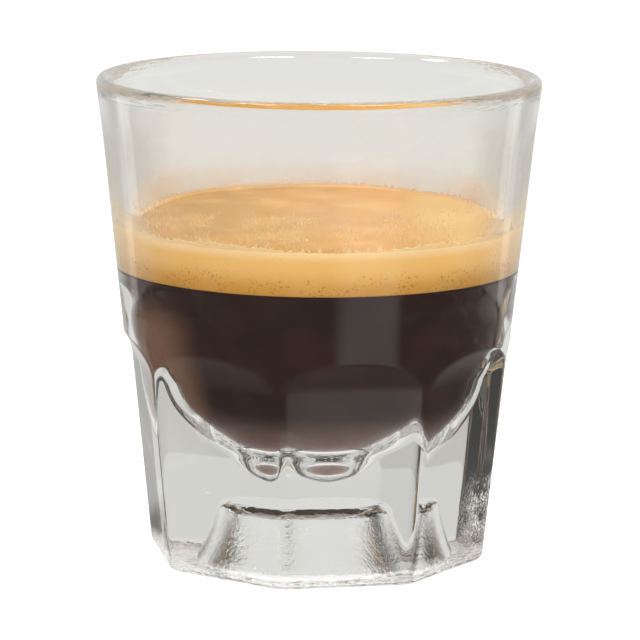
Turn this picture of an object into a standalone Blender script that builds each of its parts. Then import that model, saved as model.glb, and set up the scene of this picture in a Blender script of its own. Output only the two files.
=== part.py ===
"""Double espresso in a fluted rocks glass.

Three closed solids stand on the plane z = 0 with the glass's axis on Z:
glass     a heavy pressed glass, round at the rim and octagonal below, hollowed above and under its foot
espresso  the dark coffee that fills the bowl up to its level
crema     the foam that floats on the coffee

Metres, +Z up. A flat of the octagon faces -Y. Radii are measured from the glass's axis.
"""

import math

import bmesh
import bpy

COLLECTION = "double_espresso"
CUTTERS = "double_espresso_cutters"

# Glass, outside
HEIGHT = 0.080
CONE_RADIUS_AT_TABLE = 0.02805
CONE_SLOPE = 0.105
RIM_RADIUS = 0.0365
LIP_OUTER_ROUNDING = 0.0010
LIP_INNER_ROUNDING = 0.0019
NECK_HEIGHT = 0.0740
RING_ABOVE_ARCHES = 0.0410
FOOT_ROUNDING = 0.0016

# Flats that cut the cone, and the scoop that ends each of them in an arch
FLATS = 8
FLAT_SHARE = 0.9316
SCOOP_START = 0.0322
SCOOP_TOP = 0.0378
SCOOP_STEPS = 4
SCOOP_OVERRUN = 1.3
CLEAR_RADIUS = 0.060
CLEAR_START = 0.050
CLEAR_TOP = 0.090
BELOW_TABLE = 0.001

# Hollow above: knots of the wall's section, radius and height, from the bottom centre to the mouth
BOWL_KNOTS = (
    (0.0000, 0.0150),
    (0.0050, 0.0163),
    (0.0090, 0.0192),
    (0.0140, 0.0219),
    (0.0186, 0.0264),
    (0.0209, 0.0317),
    (0.0223, 0.0372),
    (0.0234, 0.0422),
    (0.0260, 0.0467),
    (0.0289, 0.0510),
    (0.0305, 0.0565),
    (0.0315, 0.0631),
    (0.0326, 0.0706),
    (RIM_RADIUS - LIP_OUTER_ROUNDING - LIP_INNER_ROUNDING, HEIGHT - LIP_INNER_ROUNDING),
)
BOWL_SPAN_STEPS = 2

# Hollow under the foot
RECESS_HEIGHT = 0.0115
RECESS_TOP_RADIUS = 0.0086
RECESS_EDGE_RADIUS = 0.0025
RECESS_EDGE_START = 15
RECESS_MOUTH_RADIUS = 0.0157
RECESS_FLARE_POWER = 1.35
RECESS_FLARE_STEPS = 4

# Contents
COFFEE_LEVEL = 0.0485
CREMA_LEVEL = 0.0556
CREMA_CLIMB = 0.0002
CREMA_CLIMB_WIDTH = 0.0030
CREMA_RELIEF = 0.0002
CREMA_RINGS = 7
GAP = 0.0003

# Facets round each turned piece
GLASS_STEPS = 96
LIQUID_STEPS = 72
ROUNDING_STEPS = 3

# Principled colours, linear
GLASS_COLOUR = (0.90, 0.92, 0.90, 1.0)
COFFEE_COLOUR = (0.020, 0.008, 0.005, 1.0)
CREMA_COLOUR = (0.60, 0.33, 0.10, 1.0)


def clear_scene():
    """Removes every object and collection that the file holds."""
    for thing in list(bpy.data.objects):
        bpy.data.objects.remove(thing, do_unlink=True)
    for group in list(bpy.data.collections):
        bpy.data.collections.remove(group)


def new_collection(name):
    """A collection linked to the scene."""
    group = bpy.data.collections.new(name)
    bpy.context.scene.collection.children.link(group)
    return group


def principled(name, colour, roughness, transmission=0.0, ior=1.45):
    """A material with one Principled shader."""
    material = bpy.data.materials.new(name)
    material.use_nodes = True
    shader = material.node_tree.nodes["Principled BSDF"]
    shader.inputs["Base Color"].default_value = colour
    shader.inputs["Metallic"].default_value = 0.0
    shader.inputs["Roughness"].default_value = roughness
    shader.inputs["Transmission Weight"].default_value = transmission
    shader.inputs["IOR"].default_value = ior
    material.diffuse_color = colour
    return material


def arc(centre, radius, start, end, steps):
    """Points on a circular arc in the radius-height plane, between two angles in degrees."""
    points = []
    for i in range(steps + 1):
        angle = math.radians(start + (end - start) * i / steps)
        points.append((centre[0] + radius * math.cos(angle), centre[1] + radius * math.sin(angle)))
    return points


def through(knots, span_steps):
    """A smooth Catmull-Rom line through the knots, level at the first one."""
    first_mirrored = (-knots[1][0], knots[1][1])
    last = knots[-1]
    before = knots[-2]
    last_extended = (2 * last[0] - before[0], 2 * last[1] - before[1])
    chain = [first_mirrored, *knots, last_extended]
    points = [knots[0]]
    for a, b, c, d in zip(chain, chain[1:], chain[2:], chain[3:]):
        for i in range(1, span_steps + 1):
            t = i / span_steps
            points.append(tuple(
                0.5 * (2 * q + (r - p) * t + (2 * p - 5 * q + 4 * r - s) * t ** 2
                       + (3 * q - p - 3 * r + s) * t ** 3)
                for p, q, r, s in zip(a, b, c, d)
            ))
    return points


def cone_radius(z):
    """Radius of the glass's outer cone at height z."""
    return CONE_RADIUS_AT_TABLE + CONE_SLOPE * z


def turned(name, profile, steps, group, material=None):
    """A solid turned about Z from a profile that runs down its outer side, with a Screw modifier.

    One without a material is a guide: flat-shaded, wire and left out of renders."""
    mesh = bpy.data.meshes.new(name)
    points = [(r, 0.0, z) for r, z in profile]
    mesh.from_pydata(points, [(i, i + 1) for i in range(len(points) - 1)], [])
    turned_object = bpy.data.objects.new(name, mesh)
    group.objects.link(turned_object)
    screw = turned_object.modifiers.new("turn", "SCREW")
    screw.axis = "Z"
    screw.steps = steps
    screw.render_steps = steps
    screw.use_merge_vertices = True
    screw.merge_threshold = 0.00001
    screw.use_smooth_shade = material is not None
    if material:
        mesh.materials.append(material)
    else:
        turned_object.hide_render = True
        turned_object.display_type = "WIRE"
    return turned_object


def bowl_line():
    """Section of the hollow, from its bottom centre up to the mouth."""
    return through(BOWL_KNOTS, BOWL_SPAN_STEPS)


def lip_line():
    """Section of the rounded lip, from the inner wall over the crest and down to the neck."""
    crest = RIM_RADIUS - LIP_OUTER_ROUNDING
    inner = arc((crest, HEIGHT - LIP_INNER_ROUNDING), LIP_INNER_ROUNDING, 180, 90, ROUNDING_STEPS)
    outer = arc((crest, HEIGHT - LIP_OUTER_ROUNDING), LIP_OUTER_ROUNDING, 90, 0, ROUNDING_STEPS)
    return inner[1:] + outer[1:] + [(cone_radius(NECK_HEIGHT), NECK_HEIGHT)]


def recess_line():
    """Section of the hollow under the foot, from its mouth up a flare to its level top."""
    edge_centre = (RECESS_TOP_RADIUS, RECESS_HEIGHT - RECESS_EDGE_RADIUS)
    edge = arc(edge_centre, RECESS_EDGE_RADIUS, RECESS_EDGE_START, 90, ROUNDING_STEPS)
    start_r, start_z = edge[0]
    flare = []
    for i in range(RECESS_FLARE_STEPS):
        t = i / RECESS_FLARE_STEPS
        r = start_r + (RECESS_MOUTH_RADIUS - start_r) * (1 - t) ** RECESS_FLARE_POWER
        flare.append((r, start_z * t))
    return flare + edge + [(RECESS_TOP_RADIUS / 2, RECESS_HEIGHT), (0.0, RECESS_HEIGHT)]


def foot_line(rounding_top_radius):
    """Rounded edge between the side, at rounding_top_radius, and the flat that the glass stands on."""
    centre = (rounding_top_radius - FOOT_ROUNDING, FOOT_ROUNDING)
    return arc(centre, FOOT_ROUNDING, 0, -90, ROUNDING_STEPS)


def round_glass(group, material):
    """The glass before its flats are cut: bowl, lip, cone, foot and recess in one closed section."""
    waist = [(cone_radius(RING_ABOVE_ARCHES), RING_ABOVE_ARCHES)]
    profile = bowl_line() + lip_line() + waist + foot_line(cone_radius(FOOT_ROUNDING)) + recess_line()
    return turned("glass", profile, GLASS_STEPS, group, material)


def octagon_guide(group):
    """An eight-sided solid whose flats trim the cone. Above the scoops it stands clear of the glass."""
    to_corner = 1 / math.cos(math.pi / FLATS)
    scoop = []
    for i in range(SCOOP_STEPS + 1, -1, -1):
        t = SCOOP_OVERRUN * i / (SCOOP_STEPS + 1)
        z = SCOOP_START + (SCOOP_TOP - SCOOP_START) * t
        share = FLAT_SHARE + (1 - FLAT_SHARE) * t ** 2
        scoop.append((share * cone_radius(z), z))
    foot = foot_line(FLAT_SHARE * cone_radius(FOOT_ROUNDING))
    section = [(CLEAR_RADIUS, CLEAR_TOP), (CLEAR_RADIUS, CLEAR_START)] + scoop + foot[:-1]
    section.append((foot[-1][0], -BELOW_TABLE))
    profile = [(0.0, CLEAR_TOP)] + [(r * to_corner, z) for r, z in section] + [(0.0, -BELOW_TABLE)]
    guide = turned("octagon_guide", profile, FLATS, group)
    guide.rotation_euler.z = math.pi / FLATS
    return guide


def cut_flats(glass, guide):
    """Keeps what the round glass and the octagon share."""
    cut = glass.modifiers.new("flats", "BOOLEAN")
    cut.operation = "INTERSECT"
    cut.solver = "EXACT"
    cut.object = guide


def wall_line(low, high):
    """Section of the contents' side between two levels: the hollow's own section, a gap inside it."""
    hollow = bowl_line()
    inset = []
    for i, (r, z) in enumerate(hollow):
        r0, z0 = hollow[max(i - 1, 0)]
        r1, z1 = hollow[min(i + 1, len(hollow) - 1)]
        along = math.hypot(r1 - r0, z1 - z0)
        inset.append((r - GAP * (z1 - z0) / along, z + GAP * (r1 - r0) / along))
    inset[0] = (0.0, hollow[0][1] + GAP)

    def at_height(level):
        for (r0, z0), (r1, z1) in zip(inset, inset[1:]):
            if z0 <= level <= z1:
                return (r0 + (r1 - r0) * (level - z0) / (z1 - z0), level)
        return inset[0]

    middle = [p for p in inset if low + GAP < p[1] < high - GAP]
    start = [inset[0]] if low <= inset[0][1] else [at_height(low)]
    return start + middle + [at_height(high)]


def make_espresso(group, material):
    """The coffee: a flat top and the bowl's own form below it."""
    low = BOWL_KNOTS[0][1]
    side = wall_line(low, COFFEE_LEVEL - GAP / 2)
    profile = [(0.0, COFFEE_LEVEL - GAP / 2)] + side[::-1]
    turned("espresso", profile, LIQUID_STEPS, group, material)


def make_crema(group, material):
    """The foam: flat below, with a low uneven top that climbs a little at the wall."""
    side = wall_line(COFFEE_LEVEL + GAP / 2, CREMA_LEVEL + CREMA_CLIMB)
    wall_radius = side[-1][0]
    top = []
    for i in range(CREMA_RINGS):
        r = wall_radius * math.sin(math.pi / 2 * i / CREMA_RINGS)
        climb = max(0.0, 1 - (wall_radius - r) / CREMA_CLIMB_WIDTH)
        top.append((r, CREMA_LEVEL + CREMA_CLIMB * climb ** 2))
    profile = top + side[::-1] + [(0.0, COFFEE_LEVEL + GAP / 2)]
    crema = turned("crema", profile, LIQUID_STEPS, group, material)
    bake(crema)
    roughen_top(crema.data, wall_radius)


def bake(turned_object):
    """Replaces an object's mesh with its evaluated one and drops the modifiers."""
    bpy.context.view_layer.update()
    graph = bpy.context.evaluated_depsgraph_get()
    mesh = bpy.data.meshes.new_from_object(turned_object.evaluated_get(graph))
    turned_object.modifiers.clear()
    turned_object.data = mesh
    mesh.name = turned_object.name


def roughen_top(mesh, wall_radius):
    """Raises and lowers the foam's top by a sum of three slow waves, which fade out at the wall."""
    shape = bmesh.new()
    shape.from_mesh(mesh)
    for vert in shape.verts:
        x, y, z = vert.co
        if z < CREMA_LEVEL - GAP:
            continue
        fade = 1 - min(1.0, math.hypot(x, y) / wall_radius) ** 4
        wave = math.sin(210 * x + 1.3) * math.cos(170 * y)
        wave += 0.6 * math.sin(330 * y - 260 * x) + 0.4 * math.cos(480 * x + 390 * y)
        vert.co.z = z + CREMA_RELIEF * fade * wave
    shape.to_mesh(mesh)
    shape.free()


def main():
    clear_scene()
    parts = new_collection(COLLECTION)
    cutters = new_collection(CUTTERS)
    clear_glass = principled("clear_glass", GLASS_COLOUR, 0.02, transmission=1.0, ior=1.52)
    coffee = principled("coffee", COFFEE_COLOUR, 0.08)
    foam = principled("crema_foam", CREMA_COLOUR, 0.55)

    glass = round_glass(parts, clear_glass)
    cut_flats(glass, octagon_guide(cutters))
    make_espresso(parts, coffee)
    make_crema(parts, foam)


main()
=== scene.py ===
"""Double espresso in a fluted rocks glass, dressed for the camera.

The glass, the coffee and the foam are finer turned surfaces that stand in for the three nodes of
the frame. The torn edge of foam on the wall and the haze above it are thin sleeves of their own.
Metres, +Z up, the glass's axis on Z, and a flat of the octagon faces -Y.
"""

import math

import bpy
import mathutils
import numpy as np
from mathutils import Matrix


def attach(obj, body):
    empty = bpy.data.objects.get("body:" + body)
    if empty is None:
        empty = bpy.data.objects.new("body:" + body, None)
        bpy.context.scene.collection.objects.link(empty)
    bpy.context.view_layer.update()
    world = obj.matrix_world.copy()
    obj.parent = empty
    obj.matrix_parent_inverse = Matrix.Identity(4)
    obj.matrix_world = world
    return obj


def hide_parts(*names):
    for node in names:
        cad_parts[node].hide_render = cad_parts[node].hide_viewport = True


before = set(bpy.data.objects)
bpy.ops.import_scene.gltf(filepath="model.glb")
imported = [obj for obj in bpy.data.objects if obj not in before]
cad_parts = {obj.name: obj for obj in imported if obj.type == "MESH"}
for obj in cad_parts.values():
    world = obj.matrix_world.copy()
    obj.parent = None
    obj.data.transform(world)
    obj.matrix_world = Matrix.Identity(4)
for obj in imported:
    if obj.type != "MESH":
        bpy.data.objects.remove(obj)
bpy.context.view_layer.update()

# Glass, outside
HEIGHT = 0.080
CONE_RADIUS_AT_TABLE = 0.02805
CONE_SLOPE = 0.105
RIM_RADIUS = 0.0365
LIP_OUTER_ROUNDING = 0.0010
LIP_INNER_ROUNDING = 0.0019
LIP_OUTER_END = -6
NECK_HEIGHT = 0.0700
FOOT_ROUNDING = 0.0016

# Flats and the scoops that end them
FLATS = 8
FLAT_SHARE = 0.9316
SCOOP_START = 0.0322
SCOOP_TOP = 0.0378
SCOOP_REACH = 0.0440
SCOOP_LEAD = 0.0004
EDGE_SOFTNESS = 0.00035

# Hollow above: knots of the wall's section
BOWL_KNOTS = np.array((
    (0.0000, 0.0150),
    (0.0050, 0.0163),
    (0.0090, 0.0192),
    (0.0140, 0.0219),
    (0.0186, 0.0264),
    (0.0209, 0.0317),
    (0.0223, 0.0372),
    (0.0234, 0.0422),
    (0.0260, 0.0467),
    (0.0289, 0.0510),
    (0.0305, 0.0565),
    (0.0315, 0.0631),
    (0.0326, 0.0706),
    (RIM_RADIUS - LIP_OUTER_ROUNDING - LIP_INNER_ROUNDING, HEIGHT - LIP_INNER_ROUNDING),
))

# Hollow under the foot
RECESS_HEIGHT = 0.0115
RECESS_TOP_RADIUS = 0.0086
RECESS_EDGE_RADIUS = 0.0025
RECESS_EDGE_START = 15
RECESS_MOUTH_RADIUS = 0.0157
RECESS_MOUTH_ROUNDING = 0.0010
RECESS_MOUTH_HEIGHT = 0.0020
RECESS_FLARE_POWER = 1.35

# Contents
COFFEE_LEVEL = 0.0485
COFFEE_TOP_SHARES = np.array((0.25, 0.5, 0.75, 0.9, 0.97))
CREMA_LEVEL = 0.0556
CREMA_CLIMB = 0.0002
CREMA_CLIMB_WIDTH = 0.0030
CREMA_RELIEF = 0.00018
CREMA_UNDER_SHARES = np.array((0.95, 0.75, 0.5, 0.25))
BROW = 0.00003
INTO_WALL = 0.00006
CREMA_INTO_WALL = 1.3 * INTO_WALL
LEVEL_GAP = 0.0002
POLE_GAP = 0.0003

# Foam left on the wall, and haze above it
RESIDUE_FOOT = 0.0550
RESIDUE_ROUND = (0, 15, 32, 45, 60, 90, 120, 150, 172, 190, 215, 235, 260, 290, 315, 330, 345, 360)
RESIDUE_HEIGHTS = (0, 2, 8, 6, 9, 9, 4, 3, 8, 14, 13, 6, 5, 8, 7, 9, 4, 0)
RESIDUE_HEIGHT_UNIT = 0.0001
RESIDUE_SEED = 7
RESIDUE_WAVES = 120
RESIDUE_SPIKES = 160
WAVE_TURNS = (4, 260)
WAVE_WEIGHTS = (0.4, 1.0)
WAVE_FADE = 0.35
SPIKE_WIDTHS = (0.3, 0.9)
SPIKE_SIZES = (0.1, 1.0)
SPIKE_RARITY = 3
RESIDUE_WAVE = 0.00036
RESIDUE_SPIKE = 0.0015
RESIDUE_THICKNESS = 0.00018
RESIDUE_FOOT_THICKNESS = 1.1
RESIDUE_INTO_WALL = 0.5 * INTO_WALL
HAZE_FOOT = 0.0558
HAZE_TOP = 0.0770
HAZE_THICKNESS = 0.00003
HAZE_INTO_WALL = 0.3 * INTO_WALL

# Grids, round the axis
GLASS_AZIMUTHS = 416
LIQUID_AZIMUTHS = 360
RESIDUE_AZIMUTHS = 1440
FLOOR_AZIMUTHS = 96
RIDGE_CROWDING = 0.45

# Grids, along the sections
GLASS_SPAN_STEPS = 6
COFFEE_SPAN_STEPS = 10
WALL_SPAN_STEPS = 24
LIP_STEPS = 9
NECK_ROWS = 17
CONE_ROWS = 13
SCOOP_ROWS = 52
FLAT_ROWS = 14
FOOT_ROWS = 9
RING_ROWS = 5
FLARE_ROWS = 23
RECESS_EDGE_STEPS = 6
RECESS_TOP_ROWS = 8
CREMA_SIDE_ROWS = 26
CREMA_TOP_ROWS = 71
RESIDUE_ROWS = 9
HAZE_ROWS = 24

# Camera
CAMERA_DISTANCE = 0.644
CAMERA_TARGET = (0.0, 0.0, 0.040)
CAMERA_ELEVATION = 10.34
CAMERA_AZIMUTH = -11.0
CAMERA_ROLL = 0.446
CAMERA_LENS = 218.98
CAMERA_SENSOR = 36.0
CAMERA_SHIFT = (0.0041, -0.0066)
CAMERA_CLIP = (0.01, 20.0)

# Optics
GLASS_IOR = 1.52
COFFEE_IN_GLASS_IOR = 0.8816
ONE_BOUNCE = (0.4, 0.6)

# Looks. A pair of bounds is where a thing begins and where it is whole; two more, its least and most

# Glass, colours
GLASS_TINT = (0.985, 0.985, 0.975, 1.0)
GLASS_BODY = (0.40, 0.395, 0.34, 1.0)
GLASS_BODY_DENSITY = 4.0
GLASS_TO_LAMPS = (0.96, 0.96, 0.955, 1.0)
GRAIN_COLOUR = (0.93, 0.93, 0.92, 1.0)
GROUND_ROUGHNESS = 0.06

# Glass, scale and depth of its relief
WAVE_SCALE = 55.0
WAVE_DEPTH = 0.00006
SWAY_SCALE = 260.0
SWAY = 0.0012
CREASE_SCALE = 1300.0
CREASE_DEPTH = 0.00011
BRINK_SCALE = 520.0
BRINK_DEPTH = 0.00022
RILL_SCALE = 130.0
RILL_CLOSENESS = 9.0
RILL_DEPTH = 0.00016
STIPPLE_SCALE = 800.0
STIPPLE_DEPTH = 0.00030
CHIP_SCALE = 2100.0
CHIP_DEPTH = 0.00035
WORN_SCALE = 330.0
WORN_PARTS = (0.36, 0.60)
FLECK_PARTS = (0.50, 0.60, 0.0, 0.70)
GRIT_SCALE = 420.0
GRIT_PARTS = (0.36, 0.56, 0.25, 0.85)

# Glass, where the relief eases in
RECESS_INSIDE = (RECESS_MOUTH_RADIUS + 0.0006, RECESS_MOUTH_RADIUS - 0.0002)
RECESS_BELOW = (RECESS_HEIGHT + 0.0008, RECESS_HEIGHT + 0.0004)
CREASES_BELOW = (0.0097, 0.0091)
BRINK_ABOVE = (0.0092, 0.0100)
LIP_ABOVE = (0.0772, 0.0780)
RILLED_SIDES = (0.016, 0.029, 0.10, 1.0)
RING_BELOW = (0.0016, 0.0004)
GROUND_BELOW = (0.0009, 0.0002)
CORNER_ALONG = (0.7071, 0.7071, 0.0)
CORNER_OUTWARD = (0.7071, -0.7071, 0.0)
CORNER_PAST = (0.0008, 0.0085)
CORNER_FACE = (0.0250, 0.0256)
CORNER_SWAY = 2.5
CORNER_BELOW = (0.0175, 0.0105)
CORNER_ABOVE = (0.0020, 0.0065)

# Coffee
# The paler colour low in the bowl and the glow at the left are painted light that shines through thin
# coffee.
COFFEE_BACKLIT_LOW = (0.30, 0.185, 0.140, 1.0)
COFFEE_DEEP = (0.024, 0.0105, 0.0095, 1.0)
COFFEE_BACKLIGHT_FADE = (0.0190, 0.0285)
COFFEE_CLOUD = (0.055, 0.024, 0.015, 1.0)
COFFEE_CLOUD_SCALE = 160.0
COFFEE_CLOUDS = (0.35, 0.75, 0.0, 0.35)
COFFEE_GLOW = (0.20, 0.105, 0.065, 1.0)
COFFEE_GLOW_SIDE = (0.70, 0.98)
COFFEE_GLOW_BELOW = (0.0475, 0.0400)
# Painted reflection: the colour the coffee takes in what the glass mirrors.
COFFEE_PAINTED_REFLECTION = (0.060, 0.055, 0.050, 1.0)
COFFEE_PAINTED_REFLECTION_SHARE = 0.8
COFFEE_SHEEN = (0.60, 0.27, 0.16, 1.0)

# Crema, side
CREMA_LOW_SIDE = (0.80, 0.39, 0.070, 1.0)
CREMA_HIGH_SIDE = (0.92, 0.540, 0.165, 1.0)
CREMA_HIGH_ABOVE = (0.0490, 0.0530)
CREMA_BAND = (0.97, 0.68, 0.34, 1.0)
CREMA_BAND_ABOVE = (0.0540, 0.0556)
# Paler at the far left and right of the side: painted light where the foam is seen edge-on.
CREMA_LIT_FLANK = (1.0, 0.72, 0.43, 1.0)
CREMA_LIT_FLANK_SPAN = (0.0235, 0.0290, 0.0, 0.8)
PINHOLE_COLOUR = (0.34, 0.14, 0.025, 1.0)
PINHOLE_SHARE = 0.60
PINHOLE_SCALE = 2400.0
PINHOLE_PARTS = (0.58, 0.65)
PINHOLES_BELOW = (0.0530, 0.0512)
PATCH_SCALE = 240.0
PATCH_PARTS = (0.42, 0.56)

# Crema, top
CREMA_TOP = (0.62, 0.285, 0.045, 1.0)
# The top's darker left and paler right are painted shading, as if lit from the right.
CREMA_TOP_SHADED_LEFT = (0.47, 0.235, 0.042, 1.0)
CREMA_TOP_LIT_RIGHT = (0.72, 0.435, 0.125, 1.0)
CREMA_TOP_SHADE_FADE = (-0.022, 0.010)
CREMA_TOP_LIGHT_RISE = (0.010, 0.024)
FACING_UP = (0.35, 0.70)
CREMA_DRIFT = (0.90, 0.56, 0.22, 1.0)
CREMA_DRIFT_SCALE = 130.0
CREMA_DRIFT_PARTS = (0.40, 0.72, 0.0, 0.3)
# Painted reflection: the colour the foam takes in what the glass mirrors.
CREMA_PAINTED_REFLECTION = (0.72, 0.62, 0.50, 1.0)
CREMA_PAINTED_REFLECTION_SHARE = 0.6
BUBBLE_SCALE = 2600.0
BUBBLE_DEPTH = 0.00008

# Film of foam and haze
RESIDUE_FILM = {
    "pale": (0.98, 0.74, 0.42, 1.0),
    "warm": (0.98, 0.72, 0.38, 1.0),
    "low_share": 0.95,
    "high_share": 0.50,
    "low": 0.0560,
    "high": 0.0573,
    "streaks": 0.002,
    "soft_top": 0.9,
}
HAZE_FILM = {
    "pale": (0.78, 0.745, 0.67, 1.0),
    "warm": (0.86, 0.59, 0.31, 1.0),
    "low_share": 0.23,
    "high_share": 0.12,
    "low": 0.0560,
    "high": 0.0622,
    "streaks": 0.008,
    "flanks": 0.92,
}
FILM_CLOUD_SCALE = 70.0
FILM_CLOUDS = (0.30, 0.70, 0.65, 1.3)
FILM_BELOW = (0.0762, 0.0680)
FILM_THINNER_IN_FRONT = (-0.010, 0.010, 1.0, 0.72)
FILM_EDGE = (0.55, 0.53, 0.48, 1.0)
FILM_EDGE_ON = (0.0225, 0.0290)
FILM_EDGE_GAIN = 1.1
# The paler colour of the film on the flanks is painted light.
FLANK_LIT_COLOUR = (0.96, 0.77, 0.52, 1.0)
FLANKS_FORWARD = (-0.0060, 0.0030)
FLANKS_BELOW = (0.0614, 0.0568)
FRINGE_SCALE = 240.0
FRINGE = 0.0024
STREAK_STRETCH = (1.0, 1.0, 0.30)
STREAK_SCALE = 2800.0
STREAK_PARTS = (0.55, 0.61)
STREAK_PATCH_SCALE = 190.0
STREAK_PATCH_PARTS = (0.36, 0.54)
STREAKS_IN_FRONT = (-0.010, 0.008, 0.12, 0.45)
# The deeper orange of the film on the wall behind the drink is painted shade.
REAR_SHADED_COLOUR = (0.60, 0.32, 0.07, 1.0)
REAR_SHADE_SHARE = 0.75
REAR_WALL = (0.0, -0.015)
REAR_FRINGE = 0.4
REAR_BLUR = (0.0559, 0.0570)

# Floor, as the camera sees it
FLOOR_RINGS = (0.2, 0.6, 1.5, 4.0)
FLOOR_LEVEL = -0.0002
FLOOR_THICKNESS = 0.01
FLOOR_DARKER = (0.90, 0.90, 0.895, 1.0)
FLOOR_LIGHTER = (0.92, 0.92, 0.915, 1.0)
FLOOR_CLOUD_SCALE = 6.0
FLOOR_LIFT = 0.22
FLOOR_LIFT_COLOUR = (1.0, 1.0, 0.995, 1.0)

# Floor, as the glass sees it: colours of the painted light and shadow it glows with
DIM_NEAR = (0.32, 0.32, 0.31, 1.0)
DIM_FAR = (0.17, 0.17, 0.17, 1.0)
BEHIND_NEAR = (0.78, 0.78, 0.76, 1.0)
BEHIND_FAR = (0.84, 0.84, 0.82, 1.0)
BEYOND_NEAR = (0.58, 0.57, 0.55, 1.0)
BEYOND_FAR = (0.50, 0.50, 0.49, 1.0)
GREYER = (0.66, 0.655, 0.63, 1.0)
PANE = (1.25, 1.22, 1.16, 1.0)
LIT_PATCH = (0.88, 0.88, 0.87, 1.0)
LIGHT_UNDER_GLASS = (1.0, 1.0, 0.99, 1.0)
FLOOR_SCATTERED = (0.85, 0.85, 0.84, 1.0)

# Floor, as the glass sees it: distances from the axis, and turns from -1 behind to 1 in front
DIM_REACH = (0.06, 0.11)
BEHIND_REACH = (0.05, 0.45)
BEYOND_REACH = (0.25, 0.40)
PANE_REACH = (0.60, 0.50)
UNDER_GLASS_REACH = (0.034, 0.028)
NEAR_TO_FAR = (0.182, 0.188)
NEAR_TURN = (-0.70, -0.50)
GREYER_TURN = (-0.985, -0.93)
BEYOND_TURN = (-0.90, -0.70)
FAR_DIM_TURN = (0.10, 0.40)
PANE_FRONT_EDGE = (-0.48, -0.50)
PANE_BACK_EDGE = (-0.68, -0.56)
PATCH_INNER_EDGE = (0.10, 0.30)
PATCH_OUTER_EDGE = (1.05, 0.80)
PATCH_START = (0.05, 0.08)

# Surround
ROOM_DIM_FROM = (-0.85, 0.0)
ROOM_BEHIND = (0.86, 0.86, 0.85, 1.0)
ROOM_IN_FRONT = (0.06, 0.06, 0.06, 1.0)
ROOM_SCATTERED = (0.62, 0.62, 0.61, 1.0)
ROOM_SEEN = (0.93, 0.93, 0.925, 1.0)

# Lamps: name, azimuth, elevation, width, height, power, and whether glass mirrors it
LAMP_DISTANCE = 0.9
LAMPS = (
    ("overhead", 170, 66, 0.8, 0.6, 1.9, False),
    ("front_fill", -6, 24, 0.9, 0.4, 5.9, False),
    ("right_fill", 98, 30, 0.4, 0.4, 2.2, False),
    ("left_fill", -100, 22, 0.4, 0.4, 1.3, False),
    ("left_front_lamp", -58, 60, 0.28, 0.16, 1.5, True),
    ("right_front_lamp", 29, 60, 0.30, 0.16, 1.6, True),
    ("left_lamp", -124, 57, 0.30, 0.12, 1.0, True),
)


# Sections


def through(knots, span_steps):
    """Catmull-Rom line through the knots: on each span a cubic of its two ends and their neighbours,
    level at the first knot, which is mirrored, with the last one extended."""
    mirrored = knots[1] * (-1.0, 1.0)
    extended = 2 * knots[-1] - knots[-2]
    chain = np.vstack((mirrored, knots, extended))
    p, q, r, s = (chain[i:len(chain) - 3 + i, None, :] for i in range(4))
    t = (np.arange(span_steps) / span_steps)[None, :, None]
    spans = 0.5 * (2 * q + (r - p) * t + (2 * p - 5 * q + 4 * r - s) * t ** 2
                   + (3 * q - p - 3 * r + s) * t ** 3)
    return np.vstack((spans.reshape(-1, 2), knots[-1:]))


def arc(centre, radius, start, end, steps):
    """Points of a circular arc between two angles in degrees: centre + radius (cos, sin)."""
    angle = np.radians(np.linspace(start, end, steps + 1))
    return np.column_stack((centre[0] + radius * np.cos(angle), centre[1] + radius * np.sin(angle)))


def cone_radius(z):
    """Radius of the outer cone, which grows evenly with height."""
    return CONE_RADIUS_AT_TABLE + CONE_SLOPE * z


def soft_min(a, b, softness):
    """The lesser of a and b, with the corner where they cross rounded by a parabola."""
    near = np.maximum(softness - np.abs(a - b), 0.0) / softness
    return np.minimum(a, b) - near ** 2 * softness / 4


def side_radius(z, azimuth):
    """Outer radius at a height and azimuth: the cone's or the octagon's, whichever is less.

    A flat's distance from the axis is a fixed share of the cone's radius up to the scoop, and then
    the share grows with the square of the height until the flat leaves the cone."""
    from_flat = (azimuth + math.pi / 2 + math.pi / FLATS) % (2 * math.pi / FLATS) - math.pi / FLATS
    up_scoop = np.maximum(z - SCOOP_START, 0.0) / (SCOOP_TOP - SCOOP_START)
    share = FLAT_SHARE + (1 - FLAT_SHARE) * up_scoop ** 2
    cone = cone_radius(z)
    return soft_min(cone + 0 * from_flat, share * cone / np.cos(from_flat), EDGE_SOFTNESS)


def bowl_section():
    """Section of the hollow from its bottom centre to the mouth."""
    return through(BOWL_KNOTS, GLASS_SPAN_STEPS)


def lip_section():
    """Section over the lip, and down to the neck, where the lip's bulge on the cone has eased to none."""
    crest = RIM_RADIUS - LIP_OUTER_ROUNDING
    inner = arc((crest, HEIGHT - LIP_INNER_ROUNDING), LIP_INNER_ROUNDING, 180, 90, LIP_STEPS)
    outer_centre = (crest, HEIGHT - LIP_OUTER_ROUNDING)
    outer = arc(outer_centre, LIP_OUTER_ROUNDING, 90, LIP_OUTER_END, LIP_STEPS)
    bead_r, bead_z = outer[-1]
    t = np.linspace(0, 1, NECK_ROWS)[1:-1]
    z = bead_z + (NECK_HEIGHT - bead_z) * t
    bulge = (bead_r - cone_radius(bead_z)) * (1 - t ** 3 * (10 - 15 * t + 6 * t * t))
    return np.vstack((inner[1:], outer[1:], np.column_stack((cone_radius(z) + bulge, z))))


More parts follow.
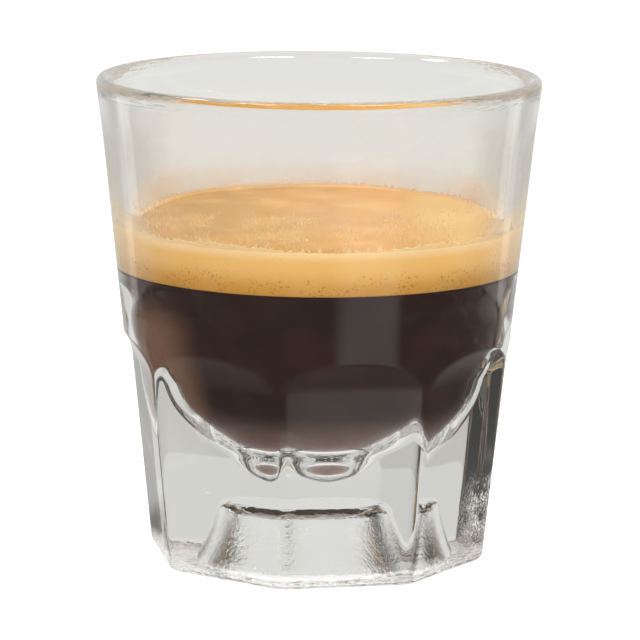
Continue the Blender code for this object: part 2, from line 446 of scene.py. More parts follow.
def recess_section():
    """Section of the hollow under the foot, from its mouth up a flare to near its level top's centre."""
    edge_centre = (RECESS_TOP_RADIUS, RECESS_HEIGHT - RECESS_EDGE_RADIUS)
    edge = arc(edge_centre, RECESS_EDGE_RADIUS, RECESS_EDGE_START, 90, RECESS_EDGE_STEPS)
    t = np.linspace(0, 1, FLARE_ROWS)[:-1]
    swing = (1 - t) ** RECESS_FLARE_POWER
    lip = RECESS_MOUTH_ROUNDING * np.maximum(1 - edge[0, 1] * t / RECESS_MOUTH_HEIGHT, 0) ** 2
    flare = np.column_stack((
        edge[0, 0] + (RECESS_MOUTH_RADIUS - edge[0, 0]) * swing - lip,
        edge[0, 1] * t,
    ))
    top_r = np.linspace(RECESS_TOP_RADIUS, 0, RECESS_TOP_ROWS)[1:-1]
    top = np.column_stack((top_r, np.full_like(top_r, RECESS_HEIGHT)))
    return np.vstack((flare, edge, top))


# Meshes


def azimuths(count, crowding=0.0):
    """Azimuths round the axis, closer together at the octagon's ridges by a sine of eight waves."""
    u = np.arange(count) * 2 * math.pi / count
    ridge = math.pi / FLATS - math.pi / 2
    return u - crowding / FLATS * np.sin(FLATS * (u - ridge))


def turned_grid(section, azimuth):
    """Rows of points: each point of the section carried round the axis."""
    r = section[:, 0, None]
    z = section[:, 1, None] + 0 * azimuth
    return np.stack((r * np.cos(azimuth), r * np.sin(azimuth), z), axis=-1)


def piece(name, points, faces, material):
    """A smooth-shaded object at the origin from arrays of points and faces."""
    mesh = bpy.data.meshes.new(name)
    mesh.from_pydata(points.tolist(), [], faces)
    mesh.polygons.foreach_set("use_smooth", np.ones(len(mesh.polygons), dtype=bool))
    mesh.materials.append(material)
    mesh.update()
    made = bpy.data.objects.new(name, mesh)
    bpy.context.scene.collection.objects.link(made)
    return made


def closed_turn(name, grid, first_pole, last_pole, material):
    """A closed surface: rows of a grid joined round the axis, with a fan of triangles to each pole."""
    rows, count, _ = grid.shape
    index = np.arange(rows * count).reshape(rows, count)
    a = index[:-1]
    b = index[1:]
    quads = np.stack((a, b, np.roll(b, -1, 1), np.roll(a, -1, 1)), axis=-1).reshape(-1, 4)
    first = np.full(count, rows * count)
    last = first + 1
    top_fan = np.column_stack((first, index[0], np.roll(index[0], -1)))
    end_fan = np.column_stack((last, np.roll(index[-1], -1), index[-1]))
    points = np.vstack((grid.reshape(-1, 3), first_pole, last_pole))
    return piece(name, points, quads.tolist() + top_fan.tolist() + end_fan.tolist(), material)


def ring_turn(name, grid, material):
    """A closed sleeve: rows of a grid joined round the axis, and the last row to the first."""
    rows, count, _ = grid.shape
    index = np.arange(rows * count).reshape(rows, count)
    b = np.roll(index, -1, 0)
    quads = np.stack((index, b, np.roll(b, -1, 1), np.roll(index, -1, 1)), axis=-1).reshape(-1, 4)
    return piece(name, grid.reshape(-1, 3), quads.tolist(), material)


def make_glass(material):
    """The glass: hollow, lip, side, foot and recess in one closed turned surface.

    Down the side the radius is that of side_radius. The foot's edge is a quarter circle inside it,
    and the ring that stands on the table runs in a straight line from there to the recess."""
    azimuth = azimuths(GLASS_AZIMUTHS, RIDGE_CROWDING)
    upper = turned_grid(np.vstack((bowl_section()[1:], lip_section())), azimuth)

    scoop_foot = SCOOP_START - SCOOP_LEAD
    heights = np.concatenate((
        np.linspace(NECK_HEIGHT, SCOOP_REACH, CONE_ROWS),
        np.linspace(SCOOP_REACH, scoop_foot, SCOOP_ROWS)[1:],
        np.linspace(scoop_foot, FOOT_ROUNDING, FLAT_ROWS)[1:],
    ))[:, None]
    side_r = side_radius(heights, azimuth)
    turn = np.radians(np.linspace(0, 90, FOOT_ROWS))[1:, None]
    foot_r = side_r[-1] - FOOT_ROUNDING * (1 - np.cos(turn))
    foot_z = FOOT_ROUNDING * (1 - np.sin(turn))
    inward = np.linspace(0, 1, RING_ROWS)[1:-1, None]
    ring_r = foot_r[-1] + (RECESS_MOUTH_RADIUS - foot_r[-1]) * inward
    r = np.vstack((side_r, foot_r, ring_r))
    z = np.vstack((heights, foot_z, 0 * inward)) + 0 * azimuth
    outside = np.stack((r * np.cos(azimuth), r * np.sin(azimuth), z), axis=-1)

    recess = turned_grid(recess_section(), azimuth)
    grid = np.vstack((upper, outside, recess))
    first_pole = (0.0, 0.0, BOWL_KNOTS[0, 1])
    last_pole = (0.0, 0.0, RECESS_HEIGHT)
    return closed_turn("glass_body", grid, first_pole, last_pole, material)


def wall_radius(z):
    """Radius of the bowl's wall at a height, read off its section."""
    section = through(BOWL_KNOTS, WALL_SPAN_STEPS)
    return np.interp(z, section[:, 1], section[:, 0])


def wall_section(low, high, into, rows):
    """Section of the bowl's wall between two heights, moved into the glass by a small depth."""
    z = np.linspace(low, high, rows)
    return np.column_stack((wall_radius(z) + into, z))


def make_coffee(material):
    """The coffee: a level top, and below it the bowl's own section, pushed a hair into the wall.

    Where the top meets the side, a row a hair down and one a hair inward keep the edge crisp."""
    azimuth = azimuths(LIQUID_AZIMUTHS)
    bowl = through(BOWL_KNOTS, COFFEE_SPAN_STEPS)
    step = np.gradient(bowl, axis=0)
    along = np.hypot(step[:, 0], step[:, 1])
    outward = np.column_stack((step[:, 1], -step[:, 0])) / along[:, None]
    bowl = bowl + INTO_WALL * outward
    below = bowl[(bowl[:, 1] < COFFEE_LEVEL - LEVEL_GAP) & (bowl[:, 0] > POLE_GAP)][::-1]
    edge = np.array((wall_radius(COFFEE_LEVEL) + INTO_WALL, COFFEE_LEVEL))
    top_r = np.append(edge[0] * COFFEE_TOP_SHARES, edge[0] - BROW)
    top = np.column_stack((top_r, np.full_like(top_r, COFFEE_LEVEL)))
    grid = turned_grid(np.vstack((top, edge, edge - (0.0, BROW), below)), azimuth)
    first_pole = (0.0, 0.0, COFFEE_LEVEL)
    last_pole = (0.0, 0.0, BOWL_KNOTS[0, 1] - INTO_WALL)
    return closed_turn("coffee_fill", grid, first_pole, last_pole, material)


def make_crema(material):
    """The foam: level below, its side in the wall, its top a sum of slow waves.

    The waves are sines and cosines of x and y, 10 to 37 mm long, which fade out with the sixth power
    of the distance from the axis. The top climbs at the wall with the square of the nearness."""
    azimuth = azimuths(LIQUID_AZIMUTHS)
    low = COFFEE_LEVEL
    top_z = CREMA_LEVEL + CREMA_CLIMB
    side = wall_section(low, top_z, CREMA_INTO_WALL, CREMA_SIDE_ROWS)[::-1]
    brow = side[:1] - (0.0, BROW)
    side = np.vstack((side[:1], brow, side[1:]))
    reach = side[0, 0]
    share = np.append(np.sin(np.linspace(0, math.pi / 2, CREMA_TOP_ROWS))[1:-1], 1 - BROW / reach)
    top_r = reach * share
    climb = np.maximum(0.0, 1 - (reach - top_r) / CREMA_CLIMB_WIDTH)
    top = turned_grid(np.column_stack((top_r, CREMA_LEVEL + CREMA_CLIMB * climb ** 2)), azimuth)
    x = top[..., 0]
    y = top[..., 1]
    fade = 1 - share[:, None] ** 6
    wave = np.sin(210 * x + 1.3) * np.cos(170 * y)
    wave += 0.6 * np.sin(330 * y - 260 * x) + 0.4 * np.cos(480 * x + 390 * y)
    top[..., 2] += CREMA_RELIEF * fade * wave
    under_r = side[-1, 0] * CREMA_UNDER_SHARES
    under = np.column_stack((under_r, np.full_like(under_r, low)))
    grid = np.vstack((top, turned_grid(np.vstack((side, under)), azimuth)))
    return closed_turn("crema_foam", grid, (0.0, 0.0, CREMA_LEVEL), (0.0, 0.0, low), material)


def ragged(azimuth, seed, waves, spikes):
    """Random waves round the axis, from -1 to 1, and narrow random spikes, from 0 to 1.

    A wave is a cosine of a whole number of turns, weaker the more turns it has. A spike is a peak
    that falls off evenly both ways, and most are low."""
    rng = np.random.default_rng(seed)
    turns = rng.integers(*WAVE_TURNS, waves)
    phase = rng.uniform(0, 2 * math.pi, waves)
    weight = rng.uniform(*WAVE_WEIGHTS, waves) / turns ** WAVE_FADE
    height = (weight[:, None] * np.cos(turns[:, None] * azimuth + phase[:, None])).sum(axis=0)
    height /= np.abs(height).max()
    centre = rng.uniform(0, 2 * math.pi, spikes)
    width = np.radians(rng.uniform(*SPIKE_WIDTHS, spikes))
    tall = rng.uniform(*SPIKE_SIZES, spikes) ** SPIKE_RARITY
    apart = np.abs((azimuth[None, :] - centre[:, None] + math.pi) % (2 * math.pi) - math.pi)
    peaks = (tall[:, None] * np.maximum(1 - apart / width[:, None], 0)).max(axis=0)
    return height, peaks


def make_residue(material):
    """Foam left on the wall just above the drink: a thin sleeve, thinner upwards, with a ragged edge.

    The edge's height is a line through given heights round the axis, plus the waves and spikes."""
    azimuth = azimuths(RESIDUE_AZIMUTHS)
    height, peaks = ragged(azimuth, RESIDUE_SEED, RESIDUE_WAVES, RESIDUE_SPIKES)
    turn = np.degrees(azimuth - math.radians(CAMERA_AZIMUTH) + math.pi / 2) % 360
    base = RESIDUE_HEIGHT_UNIT * np.interp(turn, RESIDUE_ROUND, RESIDUE_HEIGHTS)
    top = CREMA_LEVEL + CREMA_CLIMB + base + RESIDUE_WAVE * height + RESIDUE_SPIKE * peaks
    top = np.maximum(top, CREMA_LEVEL)
    share = np.linspace(1, 0, RESIDUE_ROWS)[:, None]
    z = RESIDUE_FOOT + (top - RESIDUE_FOOT) * share
    outer = wall_radius(z) + RESIDUE_INTO_WALL
    inner = wall_radius(z) - RESIDUE_THICKNESS * (RESIDUE_FOOT_THICKNESS - share)
    r = np.vstack((outer, inner[::-1]))
    z = np.vstack((z, z[::-1]))
    grid = np.stack((r * np.cos(azimuth), r * np.sin(azimuth), z), axis=-1)
    return ring_turn("crema_residue", grid, material)


def make_haze(material):
    """The haze of foam and steam on the upper wall: a sleeve that follows it, a few hundredths of a
    millimetre thick."""
    azimuth = azimuths(LIQUID_AZIMUTHS)
    z = np.linspace(HAZE_TOP, HAZE_FOOT, HAZE_ROWS)[:, None]
    outer = wall_radius(z) + HAZE_INTO_WALL
    inner = wall_radius(z) - HAZE_THICKNESS
    r = np.vstack((outer, inner[::-1])) + 0 * azimuth
    z = np.vstack((z, z[::-1])) + 0 * azimuth
    grid = np.stack((r * np.cos(azimuth), r * np.sin(azimuth), z), axis=-1)
    return ring_turn("crema_haze", grid, material)


# Materials


def blank_material(name):
    """A node material with nothing in it but its output."""
    material = bpy.data.materials.new(name)
    material.use_nodes = True
    tree = material.node_tree
    tree.nodes.clear()
    return material, tree, tree.nodes.new("ShaderNodeOutputMaterial")


def add(tree, kind, inputs=(), **settings):
    """A node of a kind, with its settings, and its inputs by name or number as values or links."""
    made = tree.nodes.new("ShaderNode" + kind)
    for key, value in settings.items():
        setattr(made, key, value)
    for key, value in dict(inputs).items():
        if isinstance(value, bpy.types.NodeSocket):
            tree.links.new(value, made.inputs[key])
        else:
            made.inputs[key].default_value = value
    return made


def place(tree):
    """Object coordinates, in metres."""
    return add(tree, "TexCoord").outputs["Object"]


def noise(tree, where, scale, detail=3.0, roughness=0.5):
    """Soft noise from 0 to 1."""
    made = add(tree, "TexNoise", {
        "Vector": where, "Scale": scale, "Detail": detail, "Roughness": roughness,
    })
    return made.outputs["Fac"]


def mapped(tree, value, low, high, to_low=0.0, to_high=1.0):
    """A value eased from one range to another, level at both ends."""
    made = add(tree, "MapRange", {
        "Value": value, "From Min": low, "From Max": high, "To Min": to_low, "To Max": to_high,
    }, interpolation_type="SMOOTHSTEP")
    return made.outputs["Result"]


def maths(tree, operation, a, b=0.0):
    """One operation on two values."""
    return add(tree, "Math", {0: a, 1: b}, operation=operation).outputs[0]


def times(tree, a, b):
    """The product of two values."""
    return maths(tree, "MULTIPLY", a, b)


def plus(tree, a, b):
    """The sum of two values."""
    return maths(tree, "ADD", a, b)


def centred(tree, value, spread):
    """Noise from 0 to 1, moved to lie evenly about 0 and scaled."""
    return times(tree, maths(tree, "SUBTRACT", value, 0.5), spread)


def along(tree, where, direction):
    """How far a place lies along a direction."""
    return add(tree, "VectorMath", {0: where, 1: direction}, operation="DOT_PRODUCT").outputs["Value"]


def distance(tree, where):
    """Distance of a place from the origin."""
    return add(tree, "VectorMath", {0: where}, operation="LENGTH").outputs["Value"]


def height_of(tree, where):
    """Height of a place."""
    return add(tree, "SeparateXYZ", {0: where}).outputs["Z"]


def to_the_right(tree, where):
    """How far a place lies to the right of the axis, seen from the camera."""
    return along(tree, where, unit_from(CAMERA_AZIMUTH + 90, 0.0))


def to_the_front(tree, where):
    """How far a place lies on the camera's side of the axis."""
    return along(tree, where, unit_from(CAMERA_AZIMUTH, 0.0))


def after_bounces(tree, kind, share=1.0):
    """A share for rays that have bounced once or more in the named way, and 0 for all others."""
    return mapped(tree, add(tree, "LightPath").outputs[kind], *ONE_BOUNCE, 0.0, share)


def blended(tree, share, a, b):
    """A colour between a and b."""
    return add(tree, "Mix", {0: share, 6: a, 7: b}, data_type="RGBA").outputs[2]


def mixed(tree, share, a, b):
    """A shader between a and b."""
    return add(tree, "MixShader", {0: share, 1: a.outputs[0], 2: b.outputs[0]})


def bumped(tree, height, depth, under=None, strength=1.0):
    """A normal bent by a height, on top of another one."""
    inputs = {"Height": height, "Distance": depth, "Strength": strength}
    if under:
        inputs["Normal"] = under
    return add(tree, "Bump", inputs).outputs["Normal"]


def glass_material():
    """Clear pressed glass with a slow waviness, which lets the lamps' light through.

    The wall of the recess is creased up to an uneven line, and rippled along its brink above that.
    Fine rills run round the lip, mostly at the left and right. The ring that stands on the table is
    ground, and the corner above it at the right is worn: both are partly a white grain."""
    material, tree, out = blank_material("pressed_glass")
    where = place(tree)
    parts = add(tree, "SeparateXYZ", {0: where}).outputs
    height = parts["Z"]
    flat = add(tree, "CombineXYZ", {0: parts["X"], 1: parts["Y"]}).outputs[0]
    reach = distance(tree, flat)
    sway = centred(tree, noise(tree, where, SWAY_SCALE), SWAY)
    normal = bumped(tree, noise(tree, where, WAVE_SCALE, detail=1.0), WAVE_DEPTH)

    recess = times(tree, mapped(tree, reach, *RECESS_INSIDE), mapped(tree, height, *RECESS_BELOW))
    frosted = times(tree, recess, mapped(tree, plus(tree, height, sway), *CREASES_BELOW))
    creases = noise(tree, where, CREASE_SCALE, roughness=0.65)
    normal = bumped(tree, times(tree, creases, frosted), CREASE_DEPTH, normal)
    brink = times(tree, recess, mapped(tree, height, *BRINK_ABOVE))
    ripples = noise(tree, where, BRINK_SCALE)
    normal = bumped(tree, times(tree, ripples, brink), BRINK_DEPTH, normal)

    lip = mapped(tree, height, *LIP_ABOVE)
    steep = times(tree, plus(tree, height, reach), RILL_CLOSENESS)
    drawn = add(tree, "CombineXYZ", {0: parts["X"], 1: parts["Y"], 2: steep}).outputs[0]
    rills = noise(tree, drawn, RILL_SCALE, detail=2.0, roughness=0.6)
    on_sides = mapped(tree, maths(tree, "ABSOLUTE", to_the_right(tree, where)), *RILLED_SIDES)
    rills = times(tree, rills, on_sides)
    normal = bumped(tree, times(tree, rills, lip), RILL_DEPTH, normal)

    ring = mapped(tree, height, *RING_BELOW)
    ground = mapped(tree, height, *GROUND_BELOW)
    stipple = noise(tree, where, STIPPLE_SCALE, detail=1.0)
    normal = bumped(tree, times(tree, stipple, ring), STIPPLE_DEPTH, normal)

    corner = times(tree, mapped(tree, along(tree, where, CORNER_ALONG), *CORNER_PAST),
                   mapped(tree, along(tree, where, CORNER_OUTWARD), *CORNER_FACE))
    uneven = plus(tree, height, times(tree, sway, CORNER_SWAY))
    low = times(tree, mapped(tree, uneven, *CORNER_BELOW), mapped(tree, uneven, *CORNER_ABOVE))
    worn = mapped(tree, noise(tree, where, WORN_SCALE, roughness=0.6), *WORN_PARTS)
    speckled = times(tree, times(tree, corner, low), worn)
    chips = noise(tree, where, CHIP_SCALE, roughness=0.65)
    normal = bumped(tree, times(tree, chips, speckled), CHIP_DEPTH, normal)
    flecks = times(tree, mapped(tree, chips, *FLECK_PARTS), speckled)
    grit = mapped(tree, noise(tree, where, GRIT_SCALE, roughness=0.6), *GRIT_PARTS)
    white = maths(tree, "MAXIMUM", flecks, times(tree, ground, grit))

    glass = add(tree, "BsdfPrincipled", {
        "Base Color": GLASS_TINT,
        "Roughness": times(tree, maths(tree, "MAXIMUM", ground, frosted), GROUND_ROUGHNESS),
        "IOR": GLASS_IOR,
        "Transmission Weight": 1.0,
        "Normal": normal,
    })
    grain = add(tree, "BsdfDiffuse", {"Color": GRAIN_COLOUR})
    open_to_lamps = add(tree, "BsdfTransparent", {"Color": GLASS_TO_LAMPS})
    shadow_ray = add(tree, "LightPath").outputs["Is Shadow Ray"]
    mix = mixed(tree, shadow_ray, mixed(tree, white, glass, grain), open_to_lamps)
    tree.links.new(mix.outputs[0], out.inputs["Surface"])
    body = add(tree, "VolumeAbsorption", {"Color": GLASS_BODY, "Density": GLASS_BODY_DENSITY})
    tree.links.new(body.outputs[0], out.inputs["Volume"])
    return material


def coffee_material():
    """Near-black coffee behind glass: a brown body, with the mirror of the glass where it is seen flat.

    The body is paler low in the bowl and glows at the left: both are painted light, standing in for light
    that shines through the thin coffee there. What the glass mirrors of it is greyer: a painted
    reflection colour."""
    material, tree, out = blank_material("dark_coffee")
    where = place(tree)
    height = height_of(tree, where)
    # Painted light: paler low in the bowl, as if light shone through the thin coffee there.
    depth = mapped(tree, height, *COFFEE_BACKLIGHT_FADE)
    cloud = mapped(tree, noise(tree, where, COFFEE_CLOUD_SCALE, detail=4.0), *COFFEE_CLOUDS)
    body = blended(tree, cloud, blended(tree, depth, COFFEE_BACKLIT_LOW, COFFEE_DEEP), COFFEE_CLOUD)
    flat = add(tree, "VectorMath", {0: where, 1: (1.0, 1.0, 0.0)}, operation="MULTIPLY").outputs[0]
    outward = add(tree, "VectorMath", {0: flat}, operation="NORMALIZE").outputs[0]
    turned = along(tree, outward, unit_from(CAMERA_AZIMUTH - 90, 0.0))
    # Painted light: a brown glow at the left, as if light shone through the coffee's thin edge.
    glow = times(tree, mapped(tree, turned, *COFFEE_GLOW_SIDE), mapped(tree, height, *COFFEE_GLOW_BELOW))
    body = blended(tree, glow, body, COFFEE_GLOW)
    # Painted reflection: rays that come off a mirror bounce see the coffee in a dark grey, not its brown.
    mirrored = after_bounces(tree, "Glossy Depth", COFFEE_PAINTED_REFLECTION_SHARE)
    body = blended(tree, mirrored, body, COFFEE_PAINTED_REFLECTION)
    skin = add(tree, "BsdfPrincipled", {
        "Base Color": body,
        "Roughness": 0.6,
        "Specular IOR Level": 0.0,
        "Sheen Weight": 0.5,
        "Sheen Roughness": 0.35,
        "Sheen Tint": COFFEE_SHEEN,
    })
    mirror = add(tree, "BsdfGlossy", {"Color": (0.95, 0.95, 0.95, 1.0), "Roughness": 0.02})
    share = add(tree, "Fresnel", {"IOR": COFFEE_IN_GLASS_IOR}).outputs[0]
    tree.links.new(mixed(tree, share, skin, mirror).outputs[0], out.inputs["Surface"])
    return material


def crema_material():
    """Golden foam: fine bubbles, deeper orange low at the side, and paler high up and at left and right;
    the paler left and right of the side is painted light.

    The top turns from brown at the left to pale at the right: painted shading, as if lit from the right.
    Dark pinholes lie in patches low at the side. What the glass mirrors of the foam is paler: a painted
    reflection colour."""
    material, tree, out = blank_material("golden_foam")
    where = place(tree)
    height = height_of(tree, where)
    aside = to_the_right(tree, where)
    side = blended(tree, mapped(tree, height, *CREMA_HIGH_ABOVE), CREMA_LOW_SIDE, CREMA_HIGH_SIDE)
    side = blended(tree, mapped(tree, height, *CREMA_BAND_ABOVE), side, CREMA_BAND)
    # Painted light: the side is paler at the far left and right, where it is seen edge-on.
    edge_on = mapped(tree, maths(tree, "ABSOLUTE", aside), *CREMA_LIT_FLANK_SPAN)
    side = blended(tree, edge_on, side, CREMA_LIT_FLANK)
    # Painted shading: the top is darker at the left and paler at the right, as if lit from the right.
    top = blended(tree, mapped(tree, aside, *CREMA_TOP_SHADE_FADE), CREMA_TOP_SHADED_LEFT, CREMA_TOP)
    top = blended(tree, mapped(tree, aside, *CREMA_TOP_LIGHT_RISE), top, CREMA_TOP_LIT_RIGHT)
    facing = height_of(tree, add(tree, "NewGeometry").outputs["True Normal"])
    colour = blended(tree, mapped(tree, facing, *FACING_UP), side, top)
    drift = noise(tree, where, CREMA_DRIFT_SCALE, detail=5.0, roughness=0.6)
    drift = mapped(tree, drift, *CREMA_DRIFT_PARTS)
    colour = blended(tree, drift, colour, CREMA_DRIFT)
    pinholes = mapped(tree, noise(tree, where, PINHOLE_SCALE, detail=2.0), *PINHOLE_PARTS)
    patches = mapped(tree, noise(tree, where, PATCH_SCALE, detail=2.0), *PATCH_PARTS)
    dark = times(tree, times(tree, pinholes, patches), mapped(tree, height, *PINHOLES_BELOW))
    colour = blended(tree, times(tree, dark, PINHOLE_SHARE), colour, PINHOLE_COLOUR)
    # Painted reflection: rays that come off a mirror bounce see the foam in a paler grey, not its own
    # colour.
    mirrored = after_bounces(tree, "Glossy Depth", CREMA_PAINTED_REFLECTION_SHARE)
    colour = blended(tree, mirrored, colour, CREMA_PAINTED_REFLECTION)
    bubbles = add(tree, "TexVoronoi", {"Vector": where, "Scale": BUBBLE_SCALE}, feature="SMOOTH_F1")
    foam = add(tree, "BsdfPrincipled", {
        "Base Color": colour,
        "Roughness": 0.55,
        "Specular IOR Level": 0.15,
        "Normal": bumped(tree, bubbles.outputs["Distance"], BUBBLE_DEPTH, strength=0.6),
    })
    tree.links.new(foam.outputs[0], out.inputs["Surface"])
    return material


def film_material(name, pale, warm, low_share, high_share, low, high, streaks, flanks=0.0, soft_top=0.0):
    """Thin film on glass, clearer upwards, with short upright streaks and specks of foam in it.

    On the flanks, left and right of the camera, it can be thicker just above the drink, and there it is
    paler: painted light. On the wall behind the drink its upper edge can be softer, and there it takes a
    deeper orange: painted shade that tones down the stronger light on that wall."""
    material, tree, out = blank_material(name)
    where = place(tree)
    height = height_of(tree, where)
    front = to_the_front(tree, where)
    rise = mapped(tree, height, low, high)
    base = plus(tree, times(tree, rise, high_share - low_share), low_share)
    share = times(tree, base, mapped(tree, noise(tree, where, FILM_CLOUD_SCALE), *FILM_CLOUDS))
    share = times(tree, share, mapped(tree, height, *FILM_BELOW))
    edge_on = mapped(tree, maths(tree, "ABSOLUTE", to_the_right(tree, where)), *FILM_EDGE_ON)
    share = times(tree, share, plus(tree, times(tree, edge_on, FILM_EDGE_GAIN), 1.0))
    share = times(tree, share, mapped(tree, front, *FILM_THINNER_IN_FRONT))

    fringe = centred(tree, noise(tree, where, FRINGE_SCALE), FRINGE)
    above = mapped(tree, plus(tree, height, fringe), *FLANKS_BELOW, 0.0, flanks)
    thick = times(tree, times(tree, edge_on, mapped(tree, front, *FLANKS_FORWARD)), above)
    share = maths(tree, "MAXIMUM", share, thick)

    drawn = add(tree, "Mapping", {"Vector": where, "Scale": STREAK_STRETCH}).outputs[0]
    ticks = mapped(tree, noise(tree, drawn, STREAK_SCALE, detail=2.0), *STREAK_PARTS)
    patches = mapped(tree, noise(tree, where, STREAK_PATCH_SCALE, detail=2.0), *STREAK_PATCH_PARTS)
    near_foam = mapped(tree, height, low + streaks, low + 0.5 * streaks)
    marks = times(tree, times(tree, ticks, patches), near_foam)
    marked = times(tree, marks, mapped(tree, front, *STREAKS_IN_FRONT))
    full = maths(tree, "MAXIMUM", share, marked)

    rear = mapped(tree, front, *REAR_WALL)
    blurred = mapped(tree, plus(tree, height, times(tree, fringe, REAR_FRINGE)), *REAR_BLUR)
    softened = times(tree, times(tree, rear, blurred), soft_top)
    full = times(tree, full, maths(tree, "SUBTRACT", 1.0, softened))

    tint = maths(tree, "MAXIMUM", marks, thick)
    tint = maths(tree, "MAXIMUM", maths(tree, "SUBTRACT", 1.0, rise), tint)
    colour = blended(tree, tint, blended(tree, edge_on, pale, FILM_EDGE), warm)
    # Painted light: the film on the flanks is coloured paler, standing in for the light that falls on it.
    colour = blended(tree, times(tree, edge_on, above), colour, FLANK_LIT_COLOUR)
    # Painted shade: the film behind the drink takes a deeper orange, toning down the stronger light on
    # that wall.
    colour = blended(tree, times(tree, times(tree, rear, REAR_SHADE_SHARE), tint), colour, REAR_SHADED_COLOUR)
    foam = add(tree, "BsdfPrincipled", {
        "Base Color": colour, "Roughness": 0.5, "Specular IOR Level": 0.1,
    })
    clear = add(tree, "BsdfTransparent")
    tree.links.new(mixed(tree, full, clear, foam).outputs[0], out.inputs["Surface"])
    return material


def floor_material():
    """Pale matt floor to the camera. To the glass and the drink it glows with a painted pattern of light
    and shadow.

    It is dim on the camera's side, a painted shadow of the glass and the drink, and bright behind, with a
    brighter pane at left and right of the back, a light patch at the left front, painted light that has
    come through the glass, and white under the glass, painted light that has come through its foot. What
    it sends to matt surfaces is one pale colour: painted light thrown back by the floor."""
    material, tree, out = blank_material("pale_floor")
    where = place(tree)
    front = to_the_front(tree, where)
    reach = distance(tree, where)
    turned = maths(tree, "DIVIDE", front, maths(tree, "MAXIMUM", reach, 0.001))

    # Painted shadow: dim on the camera's side, where the glass and the drink cast their shadow.
    dim = blended(tree, mapped(tree, reach, *DIM_REACH), DIM_NEAR, DIM_FAR)
    behind = blended(tree, mapped(tree, reach, *BEHIND_REACH), BEHIND_NEAR, BEHIND_FAR)
    near = blended(tree, mapped(tree, turned, *NEAR_TURN), behind, dim)
    beyond = blended(tree, mapped(tree, reach, *BEYOND_REACH), BEYOND_NEAR, BEYOND_FAR)
    greyer = blended(tree, mapped(tree, turned, *GREYER_TURN), behind, GREYER)
    lit = blended(tree, mapped(tree, turned, *BEYOND_TURN), greyer, beyond)
    far = blended(tree, mapped(tree, turned, *FAR_DIM_TURN), lit, dim)

    pane = times(tree, mapped(tree, turned, *PANE_FRONT_EDGE), mapped(tree, turned, *PANE_BACK_EDGE))
    pane = times(tree, pane, mapped(tree, reach, *PANE_REACH))
    far = blended(tree, pane, far, PANE)

    toward = unit_from(CAMERA_AZIMUTH, 0.0)
    sideways = along(tree, where, (-toward.y, toward.x, 0.0))
    slant = maths(tree, "DIVIDE", sideways, maths(tree, "MAXIMUM", front, 0.02))
    # Painted light: a light patch at the left front, light that has come through the glass.
    patch = times(tree, mapped(tree, slant, *PATCH_INNER_EDGE), mapped(tree, slant, *PATCH_OUTER_EDGE))
    patch = times(tree, patch, mapped(tree, front, *PATCH_START))
    near = blended(tree, patch, near, LIT_PATCH)
    # Painted light: white under the glass, light that has come through its foot.
    near = blended(tree, mapped(tree, reach, *UNDER_GLASS_REACH), near, LIGHT_UNDER_GLASS)

    seen = blended(tree, mapped(tree, reach, *NEAR_TO_FAR), near, far)
    # Painted light: matt surfaces get one pale colour from the floor.
    seen = blended(tree, after_bounces(tree, "Diffuse Depth"), seen, FLOOR_SCATTERED)
    glow = add(tree, "Emission", {"Color": seen, "Strength": 1.0})
    cloud = noise(tree, where, FLOOR_CLOUD_SCALE, detail=2.0)
    matt = add(tree, "BsdfPrincipled", {
        "Base Color": blended(tree, cloud, FLOOR_DARKER, FLOOR_LIGHTER),
        "Roughness": 0.9,
        "Specular IOR Level": 0.1,
    })
    lift = add(tree, "Emission", {"Color": FLOOR_LIFT_COLOUR, "Strength": FLOOR_LIFT})
    pale = add(tree, "AddShader", {0: matt.outputs[0], 1: lift.outputs[0]})
    camera_ray = add(tree, "LightPath").outputs["Is Camera Ray"]
    tree.links.new(mixed(tree, camera_ray, glow, pale).outputs[0], out.inputs["Surface"])
    return material


# Stage and light


def make_floor():
    """A wide round floor, an annulus of rings that meets at its centre."""
    r = np.array(FLOOR_RINGS)
    section = np.column_stack((r, np.full_like(r, FLOOR_LEVEL)))
    grid = turned_grid(section, azimuths(FLOOR_AZIMUTHS))
    under = grid[::-1].copy()
    under[..., 2] -= FLOOR_THICKNESS
    first_pole = (0, 0, FLOOR_LEVEL)
    last_pole = (0, 0, FLOOR_LEVEL - FLOOR_THICKNESS)
    floor = closed_turn("floor", np.vstack((grid, under)), first_pole, last_pole, floor_material())


def unit_from(azimuth, elevation):
    """Direction from the middle of the scene, azimuth 0 on the camera's side of it."""
    a = math.radians(azimuth)
    e = math.radians(elevation)
    return mathutils.Vector((math.sin(a) * math.cos(e), -math.cos(a) * math.cos(e), math.sin(e)))


def make_camera():
    """The camera, aimed at the glass's middle from its distance, rolled a little."""
    back = unit_from(CAMERA_AZIMUTH, CAMERA_ELEVATION)
    a = math.radians(CAMERA_AZIMUTH)
    level = mathutils.Vector((math.cos(a), math.sin(a), 0.0))
    upright = back.cross(level)
    roll = math.radians(CAMERA_ROLL)
    right = level * math.cos(roll) + upright * math.sin(roll)
    up = back.cross(right)
    data = bpy.data.cameras.new("camera")
    data.lens = CAMERA_LENS
    data.sensor_width = CAMERA_SENSOR
    data.shift_x, data.shift_y = CAMERA_SHIFT
    data.clip_start, data.clip_end = CAMERA_CLIP
    camera = bpy.data.objects.new("camera", data)
    bpy.context.scene.collection.objects.link(camera)
    turn = mathutils.Matrix((right, up, back)).transposed().to_4x4()
    turn.translation = mathutils.Vector(CAMERA_TARGET) + back * CAMERA_DISTANCE
    camera.matrix_world = turn
    bpy.context.scene.camera = camera


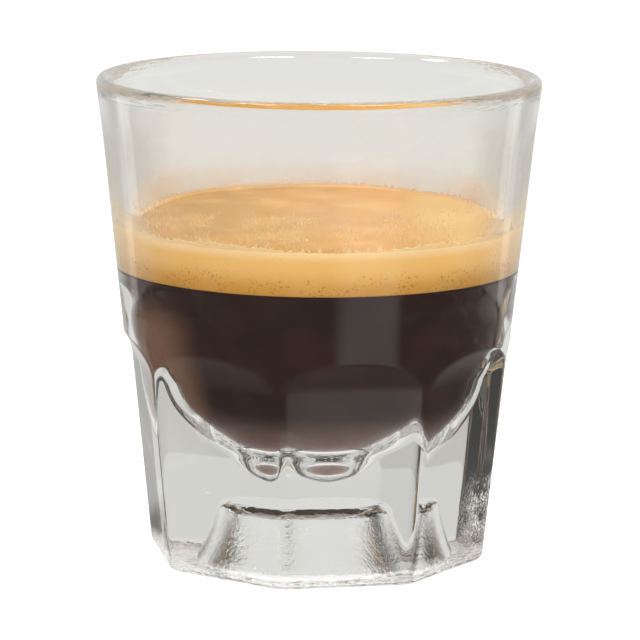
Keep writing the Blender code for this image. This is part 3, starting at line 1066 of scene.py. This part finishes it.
def softbox(name, azimuth, elevation, width, height, power, mirrored):
    """A rectangular lamp that faces the glass's middle. One that isn't mirrored lights only what is
    matt: neither glass nor coffee shows its shape."""
    data = bpy.data.lights.new(name, "AREA")
    data.shape = "RECTANGLE"
    data.size = width
    data.size_y = height
    data.energy = power
    lamp = bpy.data.objects.new(name, data)
    bpy.context.scene.collection.objects.link(lamp)
    out = unit_from(azimuth, elevation)
    lamp.location = mathutils.Vector(CAMERA_TARGET) + out * LAMP_DISTANCE
    lamp.rotation_euler = out.to_track_quat("Z", "Y").to_euler()
    lamp.visible_glossy = mirrored
    lamp.visible_transmission = mirrored


def make_light():
    """A white surround that is dim on the camera's side, and the lamps."""
    world = bpy.data.worlds.new("white_room")
    world.use_nodes = True
    tree = world.node_tree
    sky = tree.nodes["Background"]
    front = to_the_front(tree, add(tree, "TexCoord").outputs["Generated"])
    room = blended(tree, mapped(tree, front, *ROOM_DIM_FROM), ROOM_BEHIND, ROOM_IN_FRONT)
    room = blended(tree, after_bounces(tree, "Diffuse Depth"), room, ROOM_SCATTERED)
    camera_ray = add(tree, "LightPath").outputs["Is Camera Ray"]
    room = blended(tree, camera_ray, room, ROOM_SEEN)
    tree.links.new(room, sky.inputs["Color"])
    sky.inputs["Strength"].default_value = 1.0
    bpy.context.scene.world = world
    for lamp in LAMPS:
        softbox(*lamp)


def make_camera_and_light():
    """Camera, lamps, and the settings of colour and light paths that clear glass needs."""
    make_camera()
    make_light()
    scene = bpy.context.scene
    scene.view_settings.view_transform = "Standard"
    scene.cycles.max_bounces = 24
    scene.cycles.transmission_bounces = 18
    scene.cycles.glossy_bounces = 12
    scene.cycles.transparent_max_bounces = 16


def dress():
    """Makes each piece, hides the part of the frame that it takes the place of, and hangs it on the root
    body.
    """
    glass = make_glass(glass_material())
    coffee = make_coffee(coffee_material())
    crema = make_crema(crema_material())
    residue = make_residue(film_material("foam_film", **RESIDUE_FILM))
    haze = make_haze(film_material("warm_haze", **HAZE_FILM))
    for made, node in ((glass, "glass"), (coffee, "espresso"), (crema, "crema")):
        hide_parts(node)
    for made, slot in (
        (glass, "clear_glass"),
        (coffee, "coffee"),
        (crema, "crema_foam"),
        (residue, "crema_foam"),
        (haze, "crema_foam"),
    ):
        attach(made, "root")


make_camera_and_light()
make_floor()
dress()
